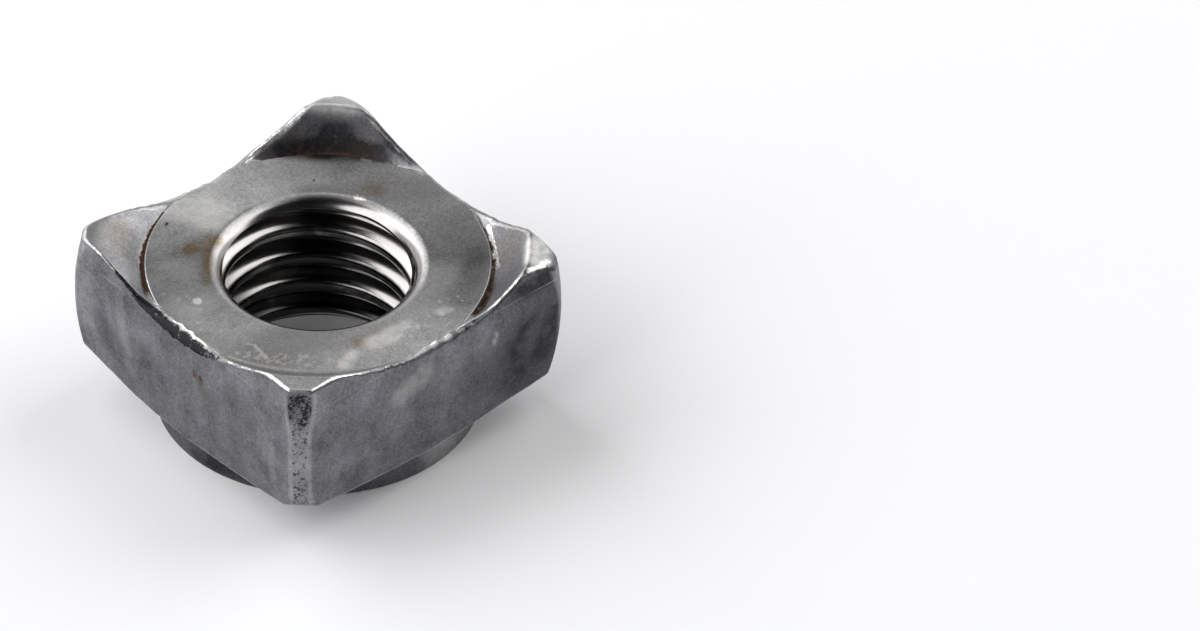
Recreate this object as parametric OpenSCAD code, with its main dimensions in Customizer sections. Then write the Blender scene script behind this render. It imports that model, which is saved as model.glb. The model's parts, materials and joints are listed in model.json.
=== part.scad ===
// Square weld nut, M8, cold forged in one piece from a round blank. The square
// body has crowned flats, a round collar on its back, and on its front a raised
// weld face with a projection on each corner, which melts into the sheet when
// the nut is welded on. It lies on its collar. The bore has the tap drill's size.

/* [Thread] */
// Nominal diameter of the thread
thread_d = 8; // [6:0.5:9]
// Pitch of the thread
thread_pitch = 1.25; // [0.75:0.05:1.75]
// Width of the front countersink's mouth beyond the thread, on the diameter
countersink_margin = 0.04; // [0:0.02:0.4]
// Included angle of the front countersink
countersink_angle = 120; // [90:5:130]
// Width of the back countersink's mouth beyond the thread, on the diameter
back_countersink_margin = 0.3; // [0:0.02:0.4]
// Included angle of the back countersink
back_countersink_angle = 90; // [80:5:130]

/* [Body] */
// Width across the flats at the crown
across_flats = 13; // [12.7:0.1:16]
// Height of the weld face above the collar's back face
nut_h = 6.1; // [5:0.1:8]
// Width across the corners at the crown, left by the round blank
across_corners = 17.7; // [16.8:0.05:18.2]
// Radius of the crown that the sides bulge to
side_crown_r = 34; // [25:1:200]
// Radius of the crown that the corners bulge to
corner_crown_r = 9.5; // [6:0.5:60]
// Slope of the corners' undersides, from the collar outward
underside_slope = 14.5; // [5:0.5:25]

/* [Weld face] */
// Diameter of the raised weld face
face_d = 12.6; // [11.5:0.05:12.9]
// Width of the groove round the weld face
groove_w = 0.1; // [0.04:0.02:0.3]
// Depth of the groove below the weld face
groove_depth = 0.2; // [0.15:0.05:0.5]
// Radius that breaks the weld face's rim
face_rim_r = 0.06; // [0.02:0.02:0.12]

/* [Weld projections] */
// Height of the projections above the weld face
projection_h = 0.9; // [0.4:0.02:1.4]
// Distance from the axis to the inner edge of each projection's land
land_inner_r = 7.65; // [7.2:0.05:8.2]
// Draft of the projections' outer sides
projection_draft = 6; // [4:0.5:10]

/* [Collar] */
// Outer diameter of the collar
collar_d = 12; // [10.6:0.1:12.3]
// Height of the collar, from its back face to the body's underside
collar_h = 1.15; // [0.7:0.05:2]
// Fillet between the collar and the body
collar_fillet_r = 0.3; // [0.1:0.05:0.5]
// Radius that breaks the collar's rim
collar_rim_r = 0.12; // [0.04:0.02:0.25]
// Diameter of the recess in the collar's back face
recess_d = 9.6; // [9.1:0.1:10.2]
// Depth of the recess
recess_depth = 0.18; // [0.05:0.01:0.5]

/* [Hidden] */
$fn = 96;
// Cuts run past the surface that they leave by this much
cut_past = 1;
// Straight steps in a quarter of a section's arc
arc_steps = 6;
// The tap drill for a metric thread: its diameter less its pitch
bore_d = thread_d - thread_pitch;
countersink_d = thread_d + countersink_margin;
countersink_depth = (countersink_d - bore_d) / 2 / tan(countersink_angle / 2);
back_countersink_d = thread_d + back_countersink_margin;
back_countersink_depth = (back_countersink_d - bore_d) / 2 / tan(back_countersink_angle / 2);
flat_r = across_flats / 2;
corner_r = across_corners / 2;
collar_r = collar_d / 2;
face_r = face_d / 2;
groove_outer_r = face_r + groove_w;
tip_z = nut_h + projection_h;
// The section's outline runs past the corners, and their crown then trims it
outline_r = across_corners;
corner_under_z = collar_h + (corner_r - collar_r) * tan(underside_slope);
// The sides and corners are widest halfway up the corners
crown_z = (corner_under_z + tip_z) / 2;
// Where the sides' draft begins, level with the weld face
draft_y = flat_r - side_crown_r + sqrt(pow(side_crown_r, 2) - pow(nut_h - crown_z, 2));
fillet_z = collar_h + collar_fillet_r * (tan(underside_slope) - 1 / cos(underside_slope));

// Points along an arc of a section, from angle a to angle b
function arc(centre, r, a, b) =
    [for (i = [0 : arc_steps])
        let (at = a + (b - a) * i / arc_steps)
            centre + r * [cos(at), sin(at)]];

// Half of the round blank's section, from the collar's back face round to the weld face
module half_section() {
    collar_rim = arc([collar_r - collar_rim_r, collar_rim_r], collar_rim_r, -90, 0);
    collar_fillet = arc([collar_r + collar_fillet_r, fillet_z], collar_fillet_r, 180, 90 + underside_slope);
    underside_end = [[outline_r, collar_h + (outline_r - collar_r) * tan(underside_slope)]];
    projection = [
        [outline_r, tip_z],
        [land_inner_r, tip_z],
        [groove_outer_r, nut_h - groove_depth],
        [face_r, nut_h - groove_depth]
    ];
    face_rim = arc([face_r - face_rim_r, nut_h - face_rim_r], face_rim_r, 0, 90);
    intersection() {
        polygon(concat(
            [[0, 0]],
            collar_rim,
            collar_fillet,
            underside_end,
            projection,
            face_rim,
            [[0, nut_h]]
        ));
        translate([corner_r - corner_crown_r, crown_z])
            circle(corner_crown_r);
    }
}

// The four flats, each crowned from top to bottom by a lying cylinder
module crowned_square() {
    intersection_for (side = [0 : 3])
        rotate(90 * side)
            translate([0, flat_r - side_crown_r, crown_z])
                rotate([0, 90, 0])
                    cylinder(r = side_crown_r, h = 2 * across_corners, center = true);
}

// What the draft takes off one side of the projections
module draft_cut() {
    translate([0, draft_y, nut_h])
        rotate([projection_draft, 0, 0])
            translate([-across_flats, 0, 0])
                cube([2 * across_flats, across_flats, 2 * projection_h]);
}

// The bore with a countersink at each end, and the recess in the collar's back face
module bore_cut() {
    translate([0, 0, -cut_past])
        cylinder(d = bore_d, h = nut_h + 2 * cut_past);
    translate([0, 0, nut_h - countersink_depth])
        cylinder(d1 = bore_d, d2 = countersink_d, h = countersink_depth);
    translate([0, 0, nut_h])
        cylinder(d = countersink_d, h = cut_past);
    translate([0, 0, recess_depth])
        cylinder(d1 = back_countersink_d, d2 = bore_d, h = back_countersink_depth);
    translate([0, 0, -cut_past])
        cylinder(d = recess_d, h = cut_past + recess_depth);
}

module weld_nut() {
    color("dimgray")
        difference() {
            intersection() {
                rotate_extrude()
                    half_section();
                crowned_square();
            }
            for (side = [0 : 3])
                rotate(90 * side)
                    draft_cut();
            bore_cut();
        }
}

weld_nut();
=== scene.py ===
import json
import math

import bmesh
import bpy
from mathutils import Matrix, Vector, geometry, kdtree, noise


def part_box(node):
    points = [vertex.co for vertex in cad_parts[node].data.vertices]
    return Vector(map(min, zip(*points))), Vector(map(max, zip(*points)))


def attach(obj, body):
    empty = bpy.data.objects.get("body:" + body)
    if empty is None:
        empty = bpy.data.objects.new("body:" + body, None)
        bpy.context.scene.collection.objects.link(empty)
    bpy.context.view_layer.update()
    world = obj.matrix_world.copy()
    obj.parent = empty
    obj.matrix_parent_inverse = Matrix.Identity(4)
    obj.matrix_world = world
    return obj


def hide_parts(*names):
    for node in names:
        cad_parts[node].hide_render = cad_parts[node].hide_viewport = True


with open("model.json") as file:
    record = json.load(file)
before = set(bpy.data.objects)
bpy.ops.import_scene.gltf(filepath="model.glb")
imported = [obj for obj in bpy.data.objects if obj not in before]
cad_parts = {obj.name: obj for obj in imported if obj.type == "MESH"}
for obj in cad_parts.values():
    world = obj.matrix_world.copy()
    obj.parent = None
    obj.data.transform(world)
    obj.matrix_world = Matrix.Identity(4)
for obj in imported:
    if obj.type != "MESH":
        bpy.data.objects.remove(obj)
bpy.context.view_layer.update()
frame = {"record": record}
mounts = {mount["name"]: mount for mount in frame["record"]["mounts"]}
nutLow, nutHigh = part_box("weld_nut")
mm = 0.001
scene = bpy.context.scene
scene.view_settings.view_transform = "Standard"
print("frame loaded")

# the camera stands as it did for the photograph, with a long lens
photoCamera = {
    "lens": 232.1,           # mm
    "sensor": 36,            # mm wide
    "clip": 0.01,            # m, nothing nearer is drawn
    "distance": 287.3,       # mm from the spot on the floor in the middle of the picture
    "spot": (10.73, -3.54),  # mm from the nut's axis
    "bearing": 226.77,       # degrees round from +X
    "height": 39.02,         # degrees above the floor
    "roll": 1.4,
}
bearing = math.radians(photoCamera["bearing"])
height = math.radians(photoCamera["height"])
back = Vector((math.cos(bearing) * math.cos(height), math.sin(bearing) * math.cos(height),
               math.sin(height)))
rightHand = Vector((-math.sin(bearing), math.cos(bearing), 0))
away = Vector((-math.cos(bearing), -math.sin(bearing), 0))
aim = Vector((*photoCamera["spot"], 0)) * mm
camera = bpy.data.objects.new("photoCamera", bpy.data.cameras.new("photoCamera"))
camera.data.lens = photoCamera["lens"]
camera.data.sensor_width = photoCamera["sensor"]
camera.data.clip_start = photoCamera["clip"]
facing = Matrix((rightHand, back.cross(rightHand), back)).transposed().to_4x4()
rolled = Matrix.Rotation(math.radians(photoCamera["roll"]), 4, back) @ facing
camera.matrix_world = Matrix.Translation(aim + back * photoCamera["distance"] * mm) @ rolled
scene.collection.objects.link(camera)
scene.camera = camera
print("camera set")

# sizes in mm; the box and the mounts of the frame give the ones that mate
nut = {
    "columns": 448,          # points in a ring
    "crowding": 0.55,        # how much closer they stand at the corners
    "rowGap": 0.004,         # the least distance between two rings on the top
    "mergeGap": 0.0005,      # points that are closer become one
    "sliver": 0.0002,        # and faces that are thinner go
    "flatR": (nutHigh.x - nutLow.x) / 2 / mm,
    "tipZ": nutHigh.z / mm,
    "faceZ": mounts["weld_face"]["pos_m"][2] / mm,
    "boreR": mounts["thread"]["dims"]["r_mm"],
    "pitch": 1.25,
    "rootR": 4.0,
    "crestHalf": 0.17,       # half the thread's crest, along the axis
    "crestSoft": 0.1,        # how far the crests and the roots are rounded
    "rootSoft": 0.05,
    "flankAngle": 30,        # degrees
    "threadRows": 18,        # to a pitch
    "threadStart": 0.79,     # height of a crest on the +X side
    "mouthR": 3.77,
    "mouthOff": 0.06,        # how far the mouth lies off the axis, how oval it is, and which way
    "mouthOffAt": 255,       # degrees round
    "mouthOval": 0.04,
    "mouthOvalAt": 229,
    "lipOut": 0.28,          # the rounded lip of the mouth: outward, inward and down
    "lipIn": 0.24,
    "lipDeep": 0.34,
    "lipTaper": 0.60,        # mm inward for a mm down, below the lip
    "lipBlend": 0.03,
    "lowMouthR": 4.15,       # the countersink in the back
    "lowSoft": 0.12,
    "faceR": 6.3,
    "faceRim": 0.07,
    "grooveW": 0.1,
    "grooveDeep": 0.2,
    "cornerR": 8.85,
    "cornerSoft": 0.06,
    "crownZ": 4.44,          # where the sides and corners are widest
    "sideCrown": 34,
    "cornerCrown": 9.5,
    "draft": 11,             # degrees, on the projections' outer sides
    "rearDraft": (14, 19),   # on the right and left of the rear one
    "slope": 14.5,           # degrees, of the corners' undersides
    "collarR": 6.0,
    "collarZ": 1.15,
    "collarFillet": 0.3,
    "collarRim": 0.12,
    "recessR": 4.8,
    "recessZ": 0.18,
    "recessBrim": 0.05,
    "recessFoot": 0.04,
    "lugSpan": (13, 25),     # degrees from a side's middle, over which a projection begins,
    "grooveSpan": (14, 26),  # its groove,
    "stripSpan": (42.5, 43.2),               # and the strip down the corner
    "stripAt": 43.0,         # the strip's colour begins here, and sooner higher up
    "stripSooner": 1.1,
    "stripHeights": (5.0, 6.4),
    "roundHeights": (6.2, 6.9),              # the corners get as round as their tips between these
    "tornFrom": (234, 242),  # degrees round, where the front edge begins to be torn, and ends
    "tornTo": (286, 294),
    "edgeNick": 0.3,         # how nicks, those of the torn part and waves change the roll
    "tornNick": 0.45,
    "edgeWave": 0.15,
    "sideWave": 0.02,        # the slow and the quick waves of the forging
    "sideRipple": 0.008,
}
# round the nut, at angles in degrees: how far the top edge was rolled over in mm, how bright it was
# rubbed, how much painted shade darkens it under the roll, and how far the underside's slope leans to
# level (1 is level, below 0 is steeper)
rolledEdge = ((0, 0.30), (18, 0.16), (38, 0.16), (45, 0.40), (50, 0.24), (65, 0.24), (80, 0.40),
              (90, 0.52), (108, 0.40), (120, 0.18), (128, 0.16), (135, 0.15), (142, 0.12),
              (150, 0.16), (163, 0.38), (180, 0.42), (193, 0.34), (202, 0.18), (214, 0.17),
              (225, 0.14), (236, 0.17), (250, 0.18), (270, 0.26), (288, 0.26), (300, 0.24),
              (308, 0.24), (315, 0.46), (322, 0.22), (340, 0.30), (360, 0.30))
rubbedEdge = ((0, 0.2), (12, 0.05), (40, 0.0), (47, 0.6), (52, 0.85), (70, 0.85), (80, 0.4),
              (100, 0.2), (128, 0.1), (138, 0.1), (140.5, 0.85), (143.5, 0.85), (145.5, 0.05),
              (160, 0.15), (166, 0.85), (180, 1.05), (200, 1.1), (205, 0.9), (211, 0.8),
              (214, 1.1), (222, 1.1), (225, 0.4), (228, 1.1), (237, 1.1), (244, 0.95), (252, 0.85),
              (262, 1.0), (285, 0.95), (292, 0.8), (296, 0.9), (311, 0.95), (315, 0.3),
              (335, 0.15), (360, 0.2))
shadedEdge = ((0, 0.1), (40, 0), (60, 0), (90, 0.2), (128, 0.1), (140, 0), (147, 0.3), (150, 1.0),
              (160, 1.15), (192, 1.15), (196, 0.9), (202, 0.35), (210, 0), (236, 0), (240, 0.35),
              (247, 0.5), (251, 0.75), (256, 0.7), (259, 0.45), (278, 0.5), (284, 0.7), (290, 0.7),
              (294, 0.3), (300, 0), (335, 0), (360, 0.1))
saggedUnder = ((0, 0), (100, 0), (128, -0.4), (137, -0.5), (147, -0.45), (157, -0.1), (168, 0.25),
               (205, 0.35), (225, 0.36), (229, 0.36), (240, 0.32), (262, 0.1), (282, -0.1),
               (296, -0.2), (308, 0.05), (315, 0.15), (340, 0), (360, 0))
# the projections at 45, 135, 225 and 315 degrees
projections = {
    "landIn": (7.42, 7.65, 7.65, 7.65),      # mm from the axis, where the land begins
    "rise": (0.52, 0.00, 0.00, 0.02),        # mm above the usual height
    "fall": (0.13, 0.06, 0.02, 0.28),        # mm down for a mm outward, on the land
    "soft": (0.22, 0.80, 0.10, 0.05),        # how soft the land's inner edge is, and how round the tip
    "round": (0.45, 0.20, 0.06, 0.30),
    "deep": (1.0, 1.0, 0.1, 1.1),            # the groove, times its usual depth
    "slate": (0.9, 0.5, 0.5, 0.75),          # how slate the ramp is, and how much painted shade dims it
    "dim": (0.45, 0.0, 0.2, 0.25),
    "brown": (0.9, 1.15, 0.0, 0.9),          # the groove's brown, and how many mm it climbs the ramp
    "climb": (0.42, 0.10, 0.10, 0.15),
    "rim": (0.35, 0.5, 0.0, 0.1),            # how bright the groove's rim was rubbed
}
lands = [{name: values[i] for name, values in projections.items()} for i in range(4)]


def softMin(a, b, soft):
    blend = max(soft - abs(a - b), 0) / soft
    return min(a, b) - blend * blend * soft / 4


def softMax(a, b, soft):
    return -softMin(-a, -b, soft)


def ease(low, high, value):
    share = min(max((value - low) / (high - low), 0), 1)
    return share * share * (3 - 2 * share)


# the value of a table of (angle, value) pairs at an angle in degrees
def tableAt(table, degrees):
    for (startAngle, start), (endAngle, end) in zip(table, table[1:]):
        if degrees <= endAngle:
            return start + (end - start) * ease(startAngle, endAngle, degrees)
    return table[-1][1]


def crowned(widest, crown, z):
    return widest - crown + math.sqrt(crown * crown - (z - nut["crownZ"]) ** 2)


def flatAt(z, draft):
    start = crowned(nut["flatR"], nut["sideCrown"], min(z, nut["faceZ"]))
    return start - max(z - nut["faceZ"], 0) * math.tan(math.radians(draft))


# the mouth of the thread lies a little off the axis and was pressed oval
def mouthAt(angle):
    off = nut["mouthOff"] * math.cos(angle - math.radians(nut["mouthOffAt"]))
    oval = nut["mouthOval"] * math.cos(2 * angle - 2 * math.radians(nut["mouthOvalAt"]))
    return nut["mouthR"] + off + oval


# the thread's radius at an angle and a height: rounded crests and roots, climbing a pitch in a turn
def threadR(angle, z):
    along = (z - nut["threadStart"]) / nut["pitch"] - angle / (2 * math.pi)
    off = abs(along - round(along))  # pitches from the nearest crest
    flankTan = math.tan(math.radians(nut["flankAngle"]))
    flank = nut["boreR"] + (off * nut["pitch"] - nut["crestHalf"]) / flankTan
    return softMin(softMax(nut["boreR"], flank, nut["crestSoft"]), nut["rootR"], nut["rootSoft"])


# one section through the nut at an angle, from the mouth of the thread over the top, down the
# side and under to the lower mouth: radius and height, and the marks that the finish reads
def section(angle):
    degrees = math.degrees(angle)
    quarter = angle / (math.pi / 2)
    land = lands[int(quarter) % 4]
    turn = abs(angle - round(quarter) * math.pi / 2)
    fromFlat = math.degrees(turn)
    onLug = ease(*nut["lugSpan"], fromFlat)
    onStrip = ease(*nut["stripSpan"], fromFlat)  # the round blank shows as a strip down each corner
    ring = Vector((math.cos(angle), math.sin(angle), 0))
    nick = noise.noise(ring * 22) * 0.6 + noise.noise(ring * 55) * 0.4
    wave = noise.noise(ring * 7 + Vector((0, 0, 3)))
    deep = nut["grooveDeep"] * land["deep"] * ease(*nut["grooveSpan"], fromFlat)
    draft = nut["draft"]
    if degrees < 90:
        draft += (nut["rearDraft"][degrees > 45] - draft) * onLug
    faceZ, faceR = nut["faceZ"], nut["faceR"]
    tipZ = nut["tipZ"] + land["rise"] * (1 - 0.35 * ((45 - fromFlat) / 15) ** 2)
    grooveOut = faceR + nut["grooveW"]
    landIn = land["landIn"]
    rubbed = tableAt(rubbedEdge, degrees)
    edgeShade = tableAt(shadedEdge, degrees)
    points = []

    def add(r, z, **marks):
        points.append((r, z, marks))

    def topZ(r):
        if r < faceR:
            return faceZ
        climb = (tipZ - faceZ + deep) / (landIn - grooveOut)
        ramp = faceZ - deep + (r - grooveOut) * climb
        level = tipZ - (r - landIn) * land["fall"]
        return softMax(softMin(ramp, level, land["soft"]), faceZ - deep, 0.05)

    def wallR(z):
        straight = flatAt(z, draft) / math.cos(turn)
        soft = nut["cornerSoft"] + (land["round"] - nut["cornerSoft"]) * ease(*nut["roundHeights"], z)
        return softMin(straight, crowned(nut["cornerR"], nut["cornerCrown"], z), soft)

    # a curve from start to end that is drawn towards an edge; a weight of 0.7 makes it nearly round
    def corner(start, edge, end, weight, shares, **marks):
        for share in shares:
            pull = 2 * weight * share * (1 - share)
            whole = (1 - share) ** 2 + pull + share ** 2
            point = [((1 - share) ** 2 * a + pull * e + share ** 2 * b) / whole
                     for a, e, b in zip(start, edge, end)]
            add(*point, **{name: mark(share) for name, mark in marks.items()})

    # lip of the mouth, then the weld face
    mouth = mouthAt(angle)
    lipOut = mouth + nut["lipOut"]
    corner((mouth - nut["lipIn"], faceZ - nut["lipDeep"]), (mouth, faceZ), (lipOut, faceZ), 0.8,
           (0, 0.12, 0.25, 0.38, 0.5, 0.62, 0.75, 0.88, 1), cut=lambda s: 1 - ease(0.3, 0.8, s))
    edgeZ = faceZ + 0.3                      # a first guess at where top and side meet
    for _ in range(8):
        edgeR = wallR(edgeZ)
        edgeZ = topZ(edgeR)
    torn = ease(*nut["tornFrom"], degrees) * (1 - ease(*nut["tornTo"], degrees))
    nicked = nut["edgeNick"] + nut["tornNick"] * torn
    roll = tableAt(rolledEdge, degrees) * (1 + nicked * nick + nut["edgeWave"] * wave)
    inner = edgeR - roll
    stations = [faceR - nut["faceRim"] * (1 - s) for s in (0, 0.4, 0.75, 0.95, 1)]
    drops = [0, 0.05, 0.2, 0.55, 1]
    stations += [faceR + nut["grooveW"] * s for s in (0.15, 0.5, 0.8, 1)]
    drops += [1, 1, 1, 1]
    rampRows = 14
    outRows = len(stations) + rampRows
    faceRows = 24
    gap = nut["rowGap"]
    faceEnd = min(stations[0], inner - gap * outRows) - gap
    for i in range(1, faceRows + 1):
        add(lipOut + (faceEnd - lipOut) * i / faceRows, faceZ)
    grooved = ease(0.3, 1, min(1, deep / nut["grooveDeep"]))
    for i, (station, drop) in enumerate(zip(stations, drops)):
        r = min(station, inner - gap * (outRows - i))
        z = faceZ - deep * drop if drop < 1 else softMax(topZ(max(r, faceR)), faceZ - deep, 0.02)
        add(r, z if inner > station else faceZ, worn=grooved * land["rim"] * (0 < drop < 0.6),
            rusty=grooved * land["brown"] * (drop > 0.5))
    last = points[-1][0]
    for i in range(1, rampRows + 1):
        share = i / rampRows
        r = last + (inner - last) * share
        onRamp = ease(faceR, grooveOut + 0.1, r) * (1 - ease(landIn - 0.2, landIn, r))
        onLand = ease(landIn - 0.2, landIn + 0.1, r)
        stain = max(0, 1 - (r - grooveOut) / land["climb"])
        # painted shade dims the projections' ramps
        add(r, topZ(r), rusty=0.8 * stain * grooved * land["brown"], dull=onRamp * onLug * land["dim"],
            forged=onLug * (onRamp * land["slate"] + 0.45 * onLand))

    # edge between top and side
    sideDrop = roll * (1.15 - 0.35 * onLug)
    lower = edgeZ - sideDrop
    weight = 0.45 + 0.35 * onLug - 0.25 * onStrip
    corner((inner, topZ(inner)), (edgeR, edgeZ), (wallR(lower), lower), weight,
           (0.0, 0.06, 0.16, 0.3, 0.5, 0.7, 0.86, 0.96, 1.0),
           worn=lambda s: rubbed * ((1 - ease(0.12, 0.42, s)) * (1 - onLug)
                                    + math.sin(math.pi * min(1, s + 0.1)) * onLug),
           # painted shade, speckled, darkens the roll's lower part; the corner strip keeps its own black
           dark=lambda s: (edgeShade * ease(0.04 + 0.12 * rubbed, 0.12 + 0.26 * rubbed, s)
                           * (1 - ease(0.8, 1, s))
                           * (1 + 0.45 * noise.noise(ring * 32 + Vector((0, 0, 6 * s))))
                           + 0.7 * onStrip * s),
           forged=lambda s: ease(0.3, 0.9, s))

    # side, with the slow waves of the forging; the corner's strip is black at its top and pitted below
    slope = math.atan(math.tan(math.radians(nut["slope"])) * (1 - tableAt(saggedUnder, degrees)))
    tilt = math.tan(slope)
    underZ = nut["collarZ"]
    for _ in range(8):
        underR = wallR(underZ)
        underZ = nut["collarZ"] + (underR - nut["collarR"]) * tilt
    filletEnd = nut["collarR"] + nut["collarFillet"] * (1 - math.sin(slope))
    under = min(0.13 * (1 + 0.4 * nick), 0.7 * (underR - filletEnd))
    bottom = underZ + under
    crease = min(faceZ, lower - 0.1)         # where the projections' draft begins
    heights = [lower + (crease + 0.03 - lower) * i / 8 for i in range(1, 9)] + [crease]
    heights += [crease - 0.03 + (bottom - crease + 0.03) * i / 18 for i in range(19)]
    sideRows = len(heights)
    for i, z in enumerate(heights, 1):
        r = wallR(z)
        place = ring * r + Vector((0, 0, z))
        swell = min(1, min(i, sideRows - i) / sideRows * 4)
        stripAt = nut["stripAt"] - nut["stripSooner"] * ease(*nut["stripHeights"], z)
        strip = ease(stripAt - 0.35, stripAt + 0.35, fromFlat)
        # painted highlight: a pale band beside the strip, where the rounded corner catches light
        beside = ease(stripAt - 1.1, stripAt - 0.5, fromFlat) * (1 - strip)
        smut = strip * ease(5.1, 6.1, z + 0.35 * noise.noise(place * 2.5)) * (180 < degrees < 270)
        drafted = onLug * (1 - strip) * ease(faceZ, faceZ + 0.03, z)
        # painted highlight along the crease where the projections' draft begins
        creased = onLug * (1 - strip) * (z == faceZ) * (0.5 + noise.noise(place * 1.7))
        waves = nut["sideWave"] * noise.noise(place * 0.6) + nut["sideRipple"] * noise.noise(place * 2.2)
        add(r + swell * waves - nut["sideWave"], z, forged=1 - 0.15 * drafted,
            dark=strip * (0.70 - 0.08 * ease(2.4, 3.6, z)) + 0.17 * smut,
            pale=0.2 * beside + 0.22 * (strip - smut) + 0.3 * creased)

    # lower edge, underside, collar and its fillet
    underIn = underR - under
    underStart = (underIn, nut["collarZ"] + (underIn - nut["collarR"]) * tilt)
    corner((wallR(bottom) - nut["sideWave"], bottom), (underR, underZ), underStart, 0.7,
           (0.15, 0.35, 0.6, 0.85, 1), pale=lambda s: 0.55 * math.sin(math.pi * s), forged=lambda s: 1)
    for i in range(1, 7):
        r = underIn + (filletEnd - underIn) * i / 6
        add(r, nut["collarZ"] + (r - nut["collarR"]) * tilt, forged=1)
    filletZ = nut["collarZ"] + nut["collarFillet"] * (tilt - 1 / math.cos(slope))
    for i in range(1, 6):
        swing = math.pi / 2 + slope + (math.pi / 2 - slope) * i / 5
        add(nut["collarR"] + nut["collarFillet"] * (1 + math.cos(swing)),
            filletZ + nut["collarFillet"] * math.sin(swing), forged=1)
    rim = nut["collarRim"]
    for i in range(1, 4):
        add(nut["collarR"], filletZ + (rim - filletZ) * i / 3, forged=1, dull=0.3)
    corner((nut["collarR"], rim), (nut["collarR"], 0), (nut["collarR"] - rim, 0), 0.7,
           (0.25, 0.5, 0.75, 1), worn=lambda s: 0.5 * math.sin(math.pi * s), forged=lambda s: 1 - s)

    # back face, its recess and the lower mouth
    recessR, recessZ = nut["recessR"], nut["recessZ"]
    brim, foot = nut["recessBrim"], nut["recessFoot"]
    for i in range(1, 5):
        add(nut["collarR"] - rim + (recessR + brim - nut["collarR"] + rim) * i / 4, 0)
    corner((recessR + brim, 0), (recessR, 0), (recessR, brim), 0.7, (0.5, 1), worn=lambda s: 0.5)
    add(recessR, recessZ - foot, rusty=0.6)
    add(recessR - foot, recessZ, rusty=0.6)
    lowOut = nut["lowMouthR"] + nut["lowSoft"]
    for i in range(1, 5):
        add(recessR - foot + (lowOut - recessR + foot) * i / 4, recessZ)
    lowIn = (nut["lowMouthR"] - nut["lowSoft"], recessZ + nut["lowSoft"])
    corner((lowOut, recessZ), (nut["lowMouthR"], recessZ), lowIn, 0.8,
           (0.3, 0.65, 1), cut=lambda s: ease(0.2, 0.9, s))
    return points


# columns stand closer together at the corners, where the edges are
def columnAngle(column):
    even = 2 * math.pi * column / nut["columns"]
    return even + nut["crowding"] / 4 * math.sin(4 * even)


# a quarter of a ring is spun from a standing line and copied round; climb winds it as a thread
def spunRing(bm, heights, climb):
    quarterSteps = nut["columns"] // 4
    line = [bm.verts.new((1, 0, z)) for z in heights]
    edges = [bm.edges.new(pair) for pair in zip(line, line[1:])]
    before = set(bm.verts) - set(line)
    bmesh.ops.spin(bm, geom=line + edges, axis=(0, 0, 1), cent=(0, 0, 0), angle=math.pi / 2,
                   dvec=(0, 0, climb / 4 / quarterSteps), steps=quarterSteps, use_merge=False)
    quarter = [v for v in bm.verts if v not in before]
    # dictionaries, because the order of a set would differ from run to run
    faces = list(dict.fromkeys(f for v in quarter for f in v.link_faces))
    faceEdges = list(dict.fromkeys(e for f in faces for e in f.edges))
    ringVerts = list(quarter)
    for turn in (1, 2, 3):
        copy = bmesh.ops.duplicate(bm, geom=quarter + faces + faceEdges)
        moved = [g for g in copy["geom"] if isinstance(g, bmesh.types.BMVert)]
        turned = Matrix.Rotation(turn * math.pi / 2, 3, "Z")
        bmesh.ops.rotate(bm, verts=moved, cent=(0, 0, 0), matrix=turned)
        bmesh.ops.translate(bm, verts=moved, vec=(0, 0, climb * turn / 4))
        ringVerts += moved
    return ringVerts


def columnOf(v):
    even = math.atan2(v.co.y, v.co.x) % (2 * math.pi)
    return round(even / (2 * math.pi) * nut["columns"])


bm = bmesh.new()
layers = {name: bm.verts.layers.float.new(name)
          for name in ("forged", "cut", "worn", "dark", "pale", "oily", "dull", "rusty")}

# the body: a sleeve whose rings are pushed out to the section at each angle
rows = len(section(0.1))     # as many at every angle
sleeve = spunRing(bm, range(rows), 0)
bmesh.ops.remove_doubles(bm, verts=sleeve, dist=0.001)
sections = {}
for v in bm.verts:
    column = columnOf(v) % nut["columns"]
    angle = columnAngle(column)
    if column not in sections:
        sections[column] = section(angle)
    r, z, marks = sections[column][round(v.co.z)]
    for name, amount in marks.items():
        v[layers[name]] = amount
    v.co = (r * math.cos(angle), r * math.sin(angle), z)
print("body pushed to shape,", len(bm.verts), "points")

# painted shade dims the thread: low down in the bore, in its roots and on its crests; heights in mm
# where it fades
threadShade = {
    "amount": 1.4,
    "lowHeights": (1.3, 2.0),
    "rootHeights": (4.5, 5.2),
    "rootLoss": 0.8,
    "crestHeights": (3.6, 4.5),
    "crestLoss": 0.7,
    "crestShare": 0.75,
}
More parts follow.
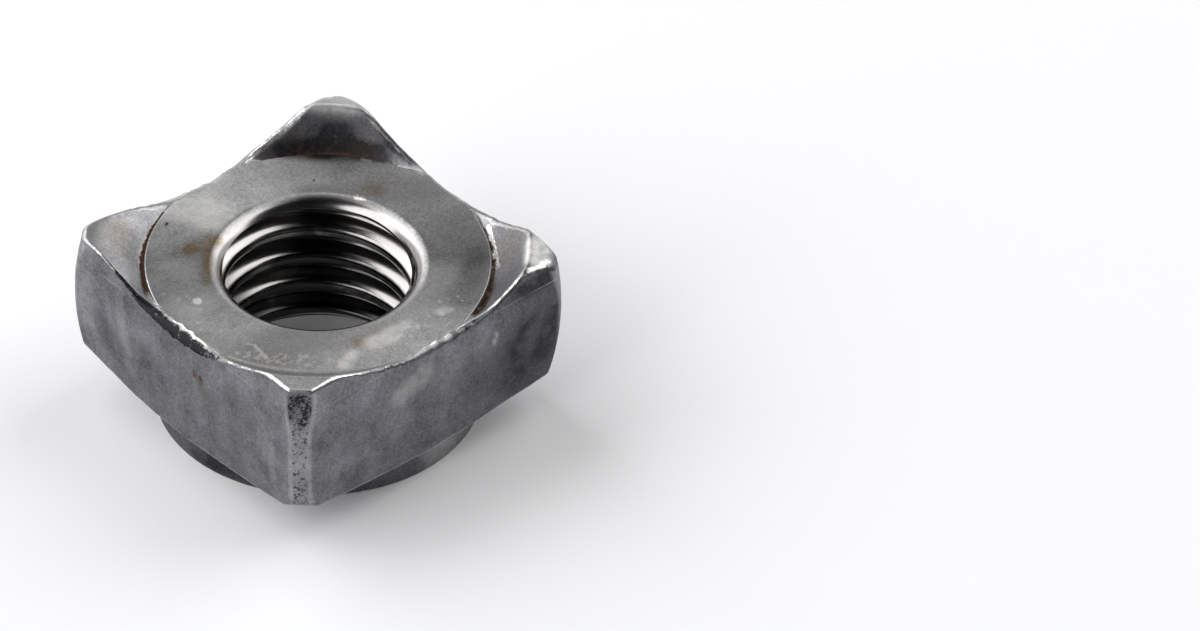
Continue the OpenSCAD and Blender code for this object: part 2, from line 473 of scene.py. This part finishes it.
# the thread: a ring that climbs one pitch in a turn, so that its rows meet the next ones
mouthTop = nut["faceZ"] - nut["lipDeep"]
mouthLow = nut["recessZ"] + nut["lowSoft"]
steps = nut["threadRows"]
firstRow = mouthLow - 1.02 * nut["pitch"]    # low enough for a turn's climb
rowCount = math.ceil((mouthTop - firstRow) / nut["pitch"] * steps) + 1
threadRows = [firstRow + i * nut["pitch"] / steps for i in range(rowCount)]
for v in spunRing(bm, threadRows, nut["pitch"]):
    column = columnOf(v)
    angle = columnAngle(column)
    even = 2 * math.pi * column / nut["columns"]
    climbed = v.co.z + nut["pitch"] * (angle - even) / (2 * math.pi)
    z = min(max(climbed, mouthLow), mouthTop)
    lipR = mouthAt(angle) - nut["lipIn"] - nut["lipTaper"] * (mouthTop - z)
    lowR = nut["lowMouthR"] - nut["lowSoft"] - (z - mouthLow)
    r = softMax(threadR(angle, z), max(lipR, lowR), nut["lipBlend"]) if z < mouthTop else lipR
    v.co = (r * math.cos(angle), r * math.sin(angle), z)
    v[layers["cut"]] = 1
    inRoot = ease(nut["rootR"] - 0.07, nut["rootR"] - 0.01, r)
    inRoot *= 1 - threadShade["rootLoss"] * ease(*threadShade["rootHeights"], z)
    onCrest = 1 - ease(nut["boreR"] + 0.02, nut["boreR"] + 0.08, r)
    onCrest *= 1 - threadShade["crestLoss"] * ease(*threadShade["crestHeights"], z)
    lowDown = 1 - ease(*threadShade["lowHeights"], z)
    v[layers["dull"]] = threadShade["amount"] * max(inRoot, threadShade["crestShare"] * onCrest, lowDown)
bmesh.ops.remove_doubles(bm, verts=bm.verts, dist=nut["mergeGap"])
bmesh.ops.dissolve_degenerate(bm, edges=bm.edges, dist=nut["sliver"])
bmesh.ops.delete(bm, geom=[e for e in bm.edges if not e.link_faces], context="EDGES")
bmesh.ops.recalc_face_normals(bm, faces=bm.faces)
# crisp edges where the thread ends at the two mouths
for e in bm.edges:
    e.smooth = not any(all(abs(v.co.z - end) < 0.0001 for v in e.verts)
                       for end in (mouthTop, mouthLow))

# marks that this nut carries: from one place to another in mm, how far they reach, which mark, and
# how strong
spots = (
    # weld face: a speck, oil at the mouth, tints, bright and dull sectors in painted highlight and
    # painted shade, rubbed parts, pits and nicks
    ((-4.79, 1.08, 6.1), (-4.79, 1.08, 6.1), 0.19, "pale", 3.0),
    ((-2.10, 3.45, 6.1), (-3.00, 3.50, 6.1), 0.60, "oily", 0.90),
    ((-2.90, 3.50, 6.1), (-3.60, 3.60, 6.1), 0.35, "oily", 0.45),
    ((-2.70, 3.05, 6.0), (-3.85, 1.70, 6.0), 0.35, "oily", 0.9),
    ((-2.85, 2.70, 5.95), (-3.35, 2.20, 5.95), 0.22, "rusty", 0.62),
    ((4.15, 1.95, 6.1), (4.30, 1.75, 6.1), 0.60, "oily", 0.45),
    ((-1.30, -4.40, 6.1), (-1.75, -4.60, 6.1), 0.70, "oily", 0.2),
    ((-5.20, -3.00, 6.1), (-4.70, -3.55, 6.1), 0.60, "oily", 0.2),
    # painted shade and painted highlights: dull and bright sectors of the face
    ((-4.60, -2.60, 6.1), (1.80, -4.80, 6.1), 1.60, "dull", 0.24),
    ((-4.40, 2.60, 6.1), (-5.00, 1.40, 6.1), 1.50, "pale", 0.16),
    ((-1.00, 4.20, 6.1), (-1.60, 5.60, 6.1), 1.40, "pale", 0.38),
    ((-5.40, 0.80, 6.1), (-4.70, -1.20, 6.1), 1.10, "pale", 0.14),
    ((0.60, -4.80, 6.1), (3.30, -3.40, 6.1), 0.80, "pale", 0.08),
    ((-2.50, -4.85, 6.1), (-3.15, -5.10, 6.1), 0.38, "pale", 0.50),
    ((-2.50, -4.85, 6.1), (-3.15, -5.10, 6.1), 0.46, "worn", 0.62),
    ((-1.60, -4.85, 6.1), (-0.05, -4.95, 6.1), 0.55, "pale", 0.45),
    ((-2.05, -4.40, 6.1), (-1.80, -4.65, 6.1), 0.46, "oily", 0.30),
    ((-5.10, -1.85, 6.1), (-4.86, -2.20, 6.1), 0.12, "worn", 0.78),
    ((-4.86, -2.20, 6.1), (-4.98, -2.95, 6.1), 0.12, "worn", 0.78),
    ((1.64, -5.19, 6.1), (1.40, -5.10, 6.1), 0.30, "pale", 0.45),
    ((-5.50, -2.10, 6.1), (-5.10, -2.90, 6.1), 0.50, "worn", 0.54),
    ((-4.60, -3.40, 6.1), (-3.40, -4.60, 6.1), 0.75, "worn", 0.54),
    ((-1.20, -5.40, 6.1), (2.20, -4.90, 6.1), 0.80, "worn", 0.42),
    ((-5.10, 2.40, 6.1), (-5.50, -0.60, 6.1), 0.80, "worn", 0.36),
    # painted shade: dull sectors on the right of the face
    ((4.40, 1.60, 6.1), (5.60, 0.60, 6.1), 1.50, "dull", 0.32),
    ((2.60, -5.10, 6.1), (4.60, -3.50, 6.1), 0.80, "dull", 0.35),
    ((4.40, -3.30, 6.1), (5.00, -1.60, 6.1), 1.20, "dull", 0.16),
    ((2.97, 3.67, 6.1), (2.97, 3.67, 6.1), 0.12, "dark", 0.9),
    ((-2.82, 5.19, 6.1), (-2.70, 5.25, 6.1), 0.22, "dark", 0.75),
    ((4.74, -2.39, 6.1), (4.74, -2.39, 6.1), 0.12, "dark", 0.9),
    ((5.20, 3.40, 6.1), (5.30, 3.25, 6.1), 0.30, "worn", 0.95),
    ((5.80, 2.41, 6.1), (5.75, 2.60, 6.1), 0.28, "worn", 0.85),
    ((3.55, 1.90, 6.1), (3.60, 1.70, 6.1), 0.28, "worn", 0.85),
    # groove at the right projection: its wall is rubbed bright
    ((6.05, -2.50, 6.0), (5.55, -3.25, 5.95), 0.14, "worn", 1.6),
    ((5.55, -3.25, 5.95), (4.72, -4.40, 5.95), 0.16, "worn", 1.6),
    # groove at the left projection: clean at its near end; lip and thread: darkened at the rear with
    # painted shade
    ((-6.25, 1.70, 5.95), (-5.75, 2.55, 5.95), 0.45, "rusty", -0.8),
    ((3.20, 2.30, 5.90), (2.30, 3.20, 5.90), 0.90, "dull", 0.35),
    ((2.40, 2.60, 1.00), (2.40, 2.60, 4.60), 1.60, "dull", 0.7),
    # projections: films of oil on the left and right ramps, a dark arch of painted shade on the rear
    # one, lands brightened with painted highlights
    ((-4.55, 5.36, 6.8), (-4.97, 4.73, 6.7), 1.00, "oily", 0.35),
    ((-5.50, 6.00, 7.0), (-6.00, 5.50, 7.0), 0.70, "pale", 0.18),
    ((5.20, -4.40, 6.5), (5.60, -3.80, 6.6), 0.90, "oily", 0.40),
    ((5.50, 3.60, 6.2), (3.60, 5.50, 6.2), 0.75, "oily", 0.45),
    ((5.70, 3.30, 6.1), (3.30, 5.70, 6.1), 0.65, "dull", 0.60),
    ((4.90, 4.40, 6.4), (4.40, 4.90, 6.4), 0.95, "dull", 0.70),
    ((6.30, 2.00, 6.3), (6.30, 5.00, 7.1), 0.40, "dull", 0.70),
    ((5.85, 4.95, 7.4), (4.95, 5.85, 7.4), 0.65, "pale", 0.45),
    ((5.20, -5.85, 7.0), (5.85, -5.20, 7.0), 0.50, "pale", 1.0),
    ((5.30, -5.75, 7.0), (5.75, -5.30, 7.0), 0.45, "worn", 0.75),
    # sides: a rust spot, drag marks, a smear, an end dulled with painted shade, and specks
    ((-6.48, -0.80, 4.82), (-6.48, -1.02, 4.66), 0.42, "rusty", 0.90),
    ((-6.45, -1.10, 4.50), (-6.45, -1.20, 4.20), 0.40, "oily", 0.4),
    ((-6.45, -4.44, 5.00), (-6.45, -4.44, 3.20), 0.45, "pale", 0.18),
    ((-6.45, -4.95, 4.60), (-6.45, -4.95, 2.60), 0.35, "pale", 0.15),
    ((-6.45, 3.40, 5.20), (-6.45, 3.10, 3.60), 0.45, "pale", 0.12),
    ((-6.45, 4.60, 4.00), (-6.45, 4.30, 3.40), 0.70, "dull", 0.30),
    ((-6.40, 5.40, 5.40), (-6.40, 5.30, 3.60), 1.00, "pale", 0.14),
    ((-0.60, -6.45, 5.20), (-1.60, -6.45, 4.75), 0.80, "pale", 0.28),
    ((-1.20, -6.45, 5.10), (-0.40, -6.45, 5.30), 0.60, "oily", 0.35),
    # painted shade darkens the -Y side towards its +X end
    ((4.90, -6.45, 5.40), (4.60, -6.45, 2.60), 2.40, "dull", 0.55),
    ((2.40, -6.45, 3.40), (5.60, -6.45, 3.60), 2.00, "dull", 0.30),
    ((-3.50, -6.45, 4.66), (-3.50, -6.45, 4.66), 0.09, "dark", 1.2),
    ((2.90, -6.45, 5.05), (2.80, -6.45, 4.80), 0.14, "pale", 0.50),
    # painted shade darkens the drafted facet at the top of the -Y side, by the projection
    ((2.90, -6.40, 6.35), (5.40, -6.35, 6.45), 0.50, "dull", 0.50),
    ((-6.40, -5.40, 1.75), (-6.40, -4.80, 1.60), 0.30, "worn", 0.40),
    ((-5.60, -6.40, 1.85), (-5.00, -6.40, 1.80), 0.30, "worn", 0.40),
    # collar: darker on the left with painted shade, lighter on the right with painted light
    ((-6.00, -0.50, 0.60), (-4.60, -3.90, 0.60), 1.00, "dull", 0.45),
    ((0.50, -6.00, 0.60), (4.60, -3.90, 0.60), 1.00, "pale", 0.40),
)
spotCore = 0.25              # the share of a spot's reach that has its full strength
nearby = kdtree.KDTree(len(bm.verts))
points = list(bm.verts)
for i, v in enumerate(points):
    nearby.insert(v.co, i)
nearby.balance()
for start, end, reach, mark, amount in spots:
    start, end = Vector(start), Vector(end)
    half = (end - start).length / 2
    for where, i, far in nearby.find_range((start + end) / 2, half + reach):
        if half > 0:
            share = geometry.intersect_point_line(where, start, end)[1]
            far = (where - start.lerp(end, min(max(share, 0), 1))).length
        points[i][layers[mark]] += amount * (1 - ease(spotCore * reach, reach, far))
bmesh.ops.scale(bm, verts=bm.verts, vec=(mm, mm, mm))
openEdges = sum(1 for e in bm.edges if len(e.link_faces) != 2)
for face in bm.faces:
    face.smooth = True
triangles = sum(len(f.verts) - 2 for f in bm.faces)
volume = round(bm.calc_volume() / mm ** 3, 1)
print("thread cut,", triangles, "triangles,", openEdges, "open edges, volume", volume, "mm3")
mesh = bpy.data.meshes.new("weldNut")
bm.to_mesh(mesh)
bm.free()
weldNut = bpy.data.objects.new("weldNut", mesh)
scene.collection.objects.link(weldNut)
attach(weldNut, "root")
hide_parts("weld_nut")


def linear(hexColour):
    parts = [int(hexColour[i:i + 2], 16) / 255 for i in (1, 3, 5)]
    return tuple(p / 12.92 if p <= 0.04045 else ((p + 0.055) / 1.055) ** 2.4 for p in parts) + (1,)


# adds a node: settings are its properties; values and links go to its inputs by name or number
def addNode(tree, kind, settings=None, values=None, links=None):
    node = tree.nodes.new(kind)
    for name, value in (settings or {}).items():
        setattr(node, name, value)
    for name, value in (values or {}).items():
        node.inputs[name].default_value = value
    for name, source in (links or {}).items():
        socket = source.outputs[0] if isinstance(source, bpy.types.Node) else source
        tree.links.new(socket, node.inputs[name])
    return node


# cold forged carbon steel, bare and oiled: satin grey where the dies pressed it, cloudy slate on the
# sides that slid in the die, bright on rubbed edges and in the cut thread, brown where oil and rust sit
finish = {
    "face": ("#68686b", "#c6c5c4"),
    "forged": ("#414145", "#9d9da2"),
    "cut": "#a4a2a0",
    "worn": "#e2e0dc",
    "pale": "#d2d1cf",
    "dark": "#29282a",
    "oily": "#d2bb94",       # a film that tints what is under it
    "dull": "#77767a",       # painted shade, a grey that dims what is under it
    "rusty": "#4f331d",
    "brushAcross": 60,       # brush marks to a radian, round the axis; the real ones are finer
    "brushAlong": 1.6,       # how much they change in a mm along the radius
    "dragAlong": 0.22,       # the same for drag marks up the sides, where across is 1
    "noiseRange": (0.32, 0.68),              # this part of a noise's range is stretched to 0 and 1
    "fleckNoise": 0.9,       # how much noise a crisp mark gets, and where it then begins and covers
    "fleckRange": (1.0, 1.4),
    "filmNoise": 1.3,        # how much a soft mark's noise changes it, and how much is left without
    "filmLeast": 0.35,
    "anisotropic": 0.7,
    "faceRough": (0.42, 0.33),               # roughness where the noise is low and where it is high
    "forgedRough": (0.56, 0.44),
    "cutRough": 0.18,
    "markRough": {"pale": 0.42, "dark": 0.45, "worn": 0.25, "rusty": 0.7},
    "paleMetal": 0.5,        # pale marks, scuffs and painted highlights alike, and rust are less metallic
    "rustMetal": 0.35,
    "relief": 0.012,         # mm, and the share of it on faces, on sides and in the thread
    "faceRelief": 0.28,
    "forgedRelief": 0.45,
    "cutRelief": 0.03,
    "faceGrain": 0.5,        # the grain's part in the relief, beside brush marks and drag marks
    "sideGrain": 0.65,
}
steel = bpy.data.materials.new("coldForgedSteel")
steel.use_nodes = True
tree = steel.node_tree
shader = tree.nodes["Principled BSDF"]
shader.inputs["Anisotropic"].default_value = finish["anisotropic"]
tangent = addNode(tree, "ShaderNodeTangent", {"direction_type": "RADIAL", "axis": "Z"})
tree.links.new(tangent.outputs[0], shader.inputs["Tangent"])
place = addNode(tree, "ShaderNodeVectorMath", {"operation": "SCALE"}, {"Scale": 1000},
                {0: addNode(tree, "ShaderNodeTexCoord").outputs["Object"]})  # in mm
# brush marks run out from the axis: noise that changes round it and hardly along the radius
level = addNode(tree, "ShaderNodeVectorMath", {"operation": "MULTIPLY"}, {1: (1, 1, 0)}, {0: place})
out = addNode(tree, "ShaderNodeVectorMath", {"operation": "LENGTH"}, links={0: level}).outputs["Value"]
toward = addNode(tree, "ShaderNodeVectorMath", {"operation": "NORMALIZE"}, links={0: level})
toward = addNode(tree, "ShaderNodeVectorMath", {"operation": "SCALE"},
                 {"Scale": finish["brushAcross"]}, {0: toward})
along = addNode(tree, "ShaderNodeMath", {"operation": "MULTIPLY"}, {1: finish["brushAlong"]}, {0: out})
along = addNode(tree, "ShaderNodeCombineXYZ", links={2: along})
brushPlace = addNode(tree, "ShaderNodeVectorMath", {"operation": "ADD"}, links={0: toward, 1: along})
# drag marks run up the sides
dragPlace = addNode(tree, "ShaderNodeVectorMath", {"operation": "MULTIPLY"},
                    {1: (1, 1, finish["dragAlong"])}, {0: place})

# noises with a size in mm, stretched to run from 0 to 1
noises = {}
noiseLow, noiseHigh = finish["noiseRange"]
for name, size, detail, rough, where in (
        ("cloud", 1.3, 7, 0.6, place),
        ("grain", 0.09, 3, 0.65, place),
        ("ragged", 0.28, 4, 0.7, place),
        ("brush", 1, 4, 0.7, brushPlace),
        ("drag", 0.3, 5, 0.65, dragPlace)):
    raw = addNode(tree, "ShaderNodeTexNoise", None,
                  {"Scale": 1 / size, "Detail": detail, "Roughness": rough}, {"Vector": where})
    noises[name] = addNode(tree, "ShaderNodeMapRange", None, {1: noiseLow, 2: noiseHigh}, {0: raw})
# mixes of them; the share is the second one's
for name, share, first, second in (
        ("speckled", 0.6, "ragged", "grain"),
        ("brushed", 0.5, "ragged", "cloud"),
        ("face", 0.20, "cloud", "brush"),
        ("face", 0.22, "face", "ragged"),
        ("face", 0.42, "face", "grain"),
        ("side", 0.16, "cloud", "drag"),
        ("side", 0.22, "side", "ragged"),
        ("side", 0.40, "side", "grain")):
    noises[name] = addNode(tree, "ShaderNodeMix", {"data_type": "FLOAT"}, {0: share},
                           {2: noises[first], 3: noises[second]})

# crisp marks cover most of a place at 1 and show in flecks at 0.5; soft marks, painted light and
# shade among them, lie as a film, thicker here and thinner there
shares = {}
fleckLow, fleckHigh = finish["fleckRange"]
for name, flecks in (("worn", "ragged"), ("dark", "speckled"), ("rusty", "ragged")):
    mark = addNode(tree, "ShaderNodeAttribute", {"attribute_name": name}).outputs["Fac"]
    mark = addNode(tree, "ShaderNodeMath", {"operation": "MULTIPLY_ADD"}, {1: finish["fleckNoise"]},
                   {0: noises[flecks], 2: mark})
    shares[name] = addNode(tree, "ShaderNodeMapRange", {"interpolation_type": "SMOOTHSTEP"},
                           {1: fleckLow, 2: fleckHigh}, {0: mark})
for name, flecks in (("pale", "brushed"), ("oily", "cloud"), ("dull", "cloud")):
    mark = addNode(tree, "ShaderNodeAttribute", {"attribute_name": name}).outputs["Fac"]
    film = addNode(tree, "ShaderNodeMath", {"operation": "MULTIPLY_ADD"},
                   {1: finish["filmNoise"], 2: finish["filmLeast"]}, {0: noises[flecks]})
    shares[name] = addNode(tree, "ShaderNodeMath", {"operation": "MULTIPLY", "use_clamp": True},
                           links={0: film, 1: mark})
forged = addNode(tree, "ShaderNodeAttribute", {"attribute_name": "forged"}).outputs["Fac"]
cut = addNode(tree, "ShaderNodeAttribute", {"attribute_name": "cut"}).outputs["Fac"]

# colour
tone = addNode(tree, "ShaderNodeMix", {"data_type": "RGBA"},
               {6: linear(finish["face"][0]), 7: linear(finish["face"][1])}, {0: noises["face"]})
sideTone = addNode(tree, "ShaderNodeMix", {"data_type": "RGBA"},
                   {6: linear(finish["forged"][0]), 7: linear(finish["forged"][1])}, {0: noises["side"]})
tone = addNode(tree, "ShaderNodeMix", {"data_type": "RGBA"},
               links={0: forged, 6: tone.outputs[2], 7: sideTone.outputs[2]})
tone = addNode(tree, "ShaderNodeMix", {"data_type": "RGBA"}, {7: linear(finish["cut"])},
               {0: cut, 6: tone.outputs[2]})
# dull multiplies in painted shade, and pale mixes in painted highlights as well as scuffs
for name, blend in (("oily", "MULTIPLY"), ("dull", "MULTIPLY"), ("pale", "MIX"), ("dark", "MIX"),
                    ("worn", "MIX"), ("rusty", "MIX")):
    tone = addNode(tree, "ShaderNodeMix", {"data_type": "RGBA", "blend_type": blend},
                   {7: linear(finish[name])}, {0: shares[name], 6: tone.outputs[2]})
tree.links.new(tone.outputs[2], shader.inputs["Base Color"])

# gloss: satin on the faces, duller on the sides, sharp in the thread and on rubbed edges
gloss = addNode(tree, "ShaderNodeMapRange",
                values={3: finish["faceRough"][0], 4: finish["faceRough"][1]}, links={0: noises["face"]})
sideGloss = addNode(tree, "ShaderNodeMapRange",
                    values={3: finish["forgedRough"][0], 4: finish["forgedRough"][1]},
                    links={0: noises["side"]})
gloss = addNode(tree, "ShaderNodeMix", {"data_type": "FLOAT"}, links={0: forged, 2: gloss, 3: sideGloss})
gloss = addNode(tree, "ShaderNodeMix", {"data_type": "FLOAT"}, {3: finish["cutRough"]},
                {0: cut, 2: gloss})
for name, rough in finish["markRough"].items():
    gloss = addNode(tree, "ShaderNodeMix", {"data_type": "FLOAT"}, {3: rough},
                    {0: shares[name], 2: gloss})
tree.links.new(gloss.outputs[0], shader.inputs["Roughness"])
bare = addNode(tree, "ShaderNodeMapRange", values={3: 1, 4: finish["paleMetal"]},
               links={0: shares["pale"]})
bare = addNode(tree, "ShaderNodeMix", {"data_type": "FLOAT"}, {3: finish["rustMetal"]},
               {0: shares["rusty"], 2: bare})
tree.links.new(bare.outputs[0], shader.inputs["Metallic"])

# relief: faint brush marks on top, grain and drag marks on the sides
sideRelief = addNode(tree, "ShaderNodeMix", {"data_type": "FLOAT"}, {0: finish["sideGrain"]},
                     {2: noises["drag"], 3: noises["grain"]})
faceRelief = addNode(tree, "ShaderNodeMix", {"data_type": "FLOAT"}, {0: finish["faceGrain"]},
                     {2: noises["brush"], 3: noises["grain"]})
relief = addNode(tree, "ShaderNodeMix", {"data_type": "FLOAT"},
                 links={0: forged, 2: faceRelief, 3: sideRelief})
depth = addNode(tree, "ShaderNodeMapRange",
                values={3: finish["faceRelief"], 4: finish["forgedRelief"]}, links={0: forged})
depth = addNode(tree, "ShaderNodeMix", {"data_type": "FLOAT"}, {3: finish["cutRelief"]},
                {0: cut, 2: depth})
bump = addNode(tree, "ShaderNodeBump", values={"Distance": finish["relief"] * mm},
               links={"Strength": depth, "Height": relief})
tree.links.new(bump.outputs[0], shader.inputs["Normal"])
weldNut.data.materials.append(steel)
print("steel made")

# pale floor: white to the camera and in reflections, and it keeps the shadow
paperFloor = {
    "half": 1.5,             # m
    "colour": "#f2f2f4",
    "rough": 0.9,
    "shine": 0.1,
    "lift": 0.08,            # light of its own, so that it comes out white
}
floorMesh = bpy.data.meshes.new("floor")
bm = bmesh.new()
bmesh.ops.create_grid(bm, x_segments=1, y_segments=1, size=paperFloor["half"])
bm.to_mesh(floorMesh)
bm.free()
floor = bpy.data.objects.new("floor", floorMesh)
scene.collection.objects.link(floor)
paper = bpy.data.materials.new("whitePaper")
paper.use_nodes = True
tree = paper.node_tree
shader = tree.nodes["Principled BSDF"]
shader.inputs["Base Color"].default_value = linear(paperFloor["colour"])
shader.inputs["Roughness"].default_value = paperFloor["rough"]
shader.inputs["Specular IOR Level"].default_value = paperFloor["shine"]
rays = addNode(tree, "ShaderNodeLightPath")
seen = addNode(tree, "ShaderNodeMath", {"operation": "MAXIMUM"},
               links={0: rays.outputs["Is Camera Ray"], 1: rays.outputs["Is Glossy Ray"]})
seen = addNode(tree, "ShaderNodeMath", {"operation": "MAXIMUM"},
               links={0: seen.outputs[0], 1: rays.outputs["Is Transmission Ray"]})
lift = addNode(tree, "ShaderNodeMath", {"operation": "MULTIPLY"}, {1: paperFloor["lift"]},
               {0: seen.outputs[0]})
shader.inputs["Emission Color"].default_value = (1, 1, 1, 1)
tree.links.new(lift.outputs[0], shader.inputs["Emission Strength"])
floorMesh.materials.append(paper)

# softboxes round the nut, the left ones stronger; bearings in degrees to the right of the view, and
# heights above the floor
softboxes = {
    "left": {"bearing": -58, "height": 44, "distance": 0.5, "size": (0.46, 0.46), "power": 1.75},
    "leftFront": {"bearing": -118, "height": 30, "distance": 0.5, "size": (0.55, 0.40), "power": 1.9},
    "right": {"bearing": 62, "height": 43, "distance": 0.5, "size": (0.44, 0.44), "power": 1.4},
}
for name, box in softboxes.items():
    lamp = bpy.data.lights.new(name + "Softbox", "AREA")
    lamp.shape = "RECTANGLE"
    lamp.size, lamp.size_y = box["size"]
    lamp.energy = box["power"]
    toward = math.radians(box["bearing"])
    rise = math.radians(box["height"])
    flatWay = away * math.cos(toward) + rightHand * math.sin(toward)
    way = flatWay * math.cos(rise) + Vector((0, 0, math.sin(rise)))
    lampObject = bpy.data.objects.new(name + "Softbox", lamp)
    turned = way.to_track_quat("Z", "Y").to_matrix().to_4x4()
    lampObject.matrix_world = Matrix.Translation(way * box["distance"]) @ turned
    scene.collection.objects.link(lampObject)

# the room: pale low down behind the nut, dark overhead and on the camera's side
room = {
    "greys": ((0.3, 0.85), (0.6, 0.40), (0.82, 0.03)),  # at heights from 0, level, to 1, overhead
    "turnsPale": (-0.3, 0.4),                # from the camera's side, -1, to behind the nut, 1
    "frontShare": 0.06,
    "diffuseShare": 0.2,
}
world = bpy.data.worlds.new("studio")
world.use_nodes = True
scene.world = world
tree = world.node_tree
where = addNode(tree, "ShaderNodeTexCoord").outputs["Generated"]
split = addNode(tree, "ShaderNodeSeparateXYZ", links={0: where})
heightRamp = addNode(tree, "ShaderNodeValToRGB", links={0: split.outputs["Z"]})
stops = heightRamp.color_ramp.elements
stops[0].position, stops[0].color = 0.0, (1, 1, 1, 1)
stops[1].position, stops[1].color = 1.0, (0, 0, 0, 1)
for position, grey in room["greys"]:
    stops.new(position).color = (grey, grey, grey, 1)
ahead = addNode(tree, "ShaderNodeVectorMath", {"operation": "DOT_PRODUCT"}, {1: away}, {0: where})
paleFrom, paleTo = room["turnsPale"]
behind = addNode(tree, "ShaderNodeMapRange", {"interpolation_type": "SMOOTHSTEP"},
                 {1: paleFrom, 2: paleTo, 3: room["frontShare"], 4: 1.0}, {0: ahead.outputs["Value"]})
glow = addNode(tree, "ShaderNodeMath", {"operation": "MULTIPLY"}, links={0: heightRamp, 1: behind})
# the floor and what else is matt get little of it, so that the softboxes shape the shadow
rays = addNode(tree, "ShaderNodeLightPath")
onFloor = addNode(tree, "ShaderNodeMapRange", values={1: 0, 2: 1, 3: 1, 4: room["diffuseShare"]},
                  links={0: rays.outputs["Is Diffuse Ray"]})
glow = addNode(tree, "ShaderNodeMath", {"operation": "MULTIPLY"}, links={0: glow, 1: onFloor})
tree.links.new(glow.outputs[0], tree.nodes["Background"].inputs["Strength"])
tree.nodes["Background"].inputs["Color"].default_value = (1, 1, 1, 1)
print("floor and light set")
